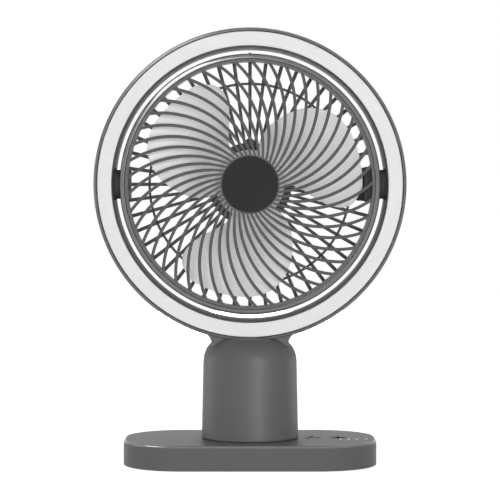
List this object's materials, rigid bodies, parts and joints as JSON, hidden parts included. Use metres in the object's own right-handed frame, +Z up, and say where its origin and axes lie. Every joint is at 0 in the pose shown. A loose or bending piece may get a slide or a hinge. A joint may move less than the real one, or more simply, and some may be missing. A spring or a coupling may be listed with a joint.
{
  "type": "desk fan with lighting ring",
  "caption": "Rechargeable desk fan: fan head on side pivots inside a lighting ring, on a neck and round turning column over a flat rounded base with touch keys and small lights.",
  "frame": {"origin": "on the surface that the feet stand on, on the column's axis, at the middle of the base", "axes": "+Z up along the column, -Y the way the fan blows, +X to the right as seen from the front"},
  "size_m": [0.21, 0.098, 0.2946],
  "materials": {
    "grey_casing": "satin moulded plastic",
    "grey_grille": "satin moulded plastic",
    "dark_trim": "fine matt moulded plastic",
    "milky_light": "milky light-spreading plastic",
    "pale_rotor": "smooth glossy plastic",
    "inner_plastic": "plain moulded plastic",
    "slide_plastic": "slippery waxy plastic",
    "foot_rubber": "soft matt rubber",
    "key_foam": "soft conducting foam",
    "screw_steel": "blackened steel",
    "shaft_steel": "ground steel",
    "core_iron": "bare iron",
    "magnet_black": "sintered magnet",
    "coil_copper": "enamelled copper wire",
    "cell_wrap": "shrunk film over a cell",
    "board_green": "lacquered circuit board",
    "lamp_white": "lamp with a clear yellowish dome",
    "green_lens": "clear lens lit green",
    "blue_lens": "clear lens lit pale blue"
  },
  "bodies": {
    "base": {"base_shell": "grey_casing", "base_plate": "inner_plastic", "base_feet": "foot_rubber", "base_screws": "screw_steel", "battery_pack": "cell_wrap", "control_board": "board_green", "touch_pads": "key_foam", "charge_lights": "green_lens", "power_light": "blue_lens", "usb_socket": "shaft_steel", "swivel_ring": "slide_plastic", "swivel_spigot": "inner_plastic", "spigot_screws": "screw_steel", "swivel_shaft": "shaft_steel"},
    "column": {"column_shell": "grey_casing", "swivel_plate": "inner_plastic", "plate_screws": "screw_steel", "swivel_motor": "shaft_steel", "swivel_motor_screws": "screw_steel", "neck_clamp": "inner_plastic", "neck_screws": "screw_steel", "ring_housing": "grey_casing", "light_diffuser": "milky_light", "led_board": "board_green", "ring_leds": "lamp_white"},
    "head": {"head_band": "grey_casing", "front_grille": "grey_grille", "grille_cap": "dark_trim", "rear_grille": "grey_grille", "right_pivot": "dark_trim", "left_pivot": "dark_trim", "pivot_clips": "shaft_steel", "pivot_washers": "slide_plastic", "lead_box": "dark_trim", "motor_lead": "foot_rubber", "motor_base": "inner_plastic", "front_bearing": "shaft_steel", "rear_bearing": "shaft_steel", "stator_core": "core_iron", "stator_coils": "coil_copper", "motor_board": "board_green", "motor_screws": "screw_steel", "motor_cover": "grey_grille", "cover_screws": "screw_steel"},
    "rotor": {"impeller": "pale_rotor", "rotor_magnet": "magnet_black", "rotor_yoke": "core_iron", "motor_shaft": "shaft_steel", "shaft_clip": "shaft_steel"}
  },
  "joints": [
    {"name": "column_swivel", "type": "hinge", "parent": "base", "child": "column", "pos_m": [0, 0, 0.0178], "axis": [0, 0, 1], "range_deg": [-45, 45]},
    {"name": "head_tilt", "type": "hinge", "parent": "column", "child": "head", "pos_m": [0, 0, 0.1896], "axis": [1, 0, 0], "range_deg": [-90, 90]},
    {"name": "rotor_spin", "type": "hinge", "parent": "head", "child": "rotor", "pos_m": [0, 0, 0.1896], "axis": [0, 1, 0], "continuous": true}
  ]
}
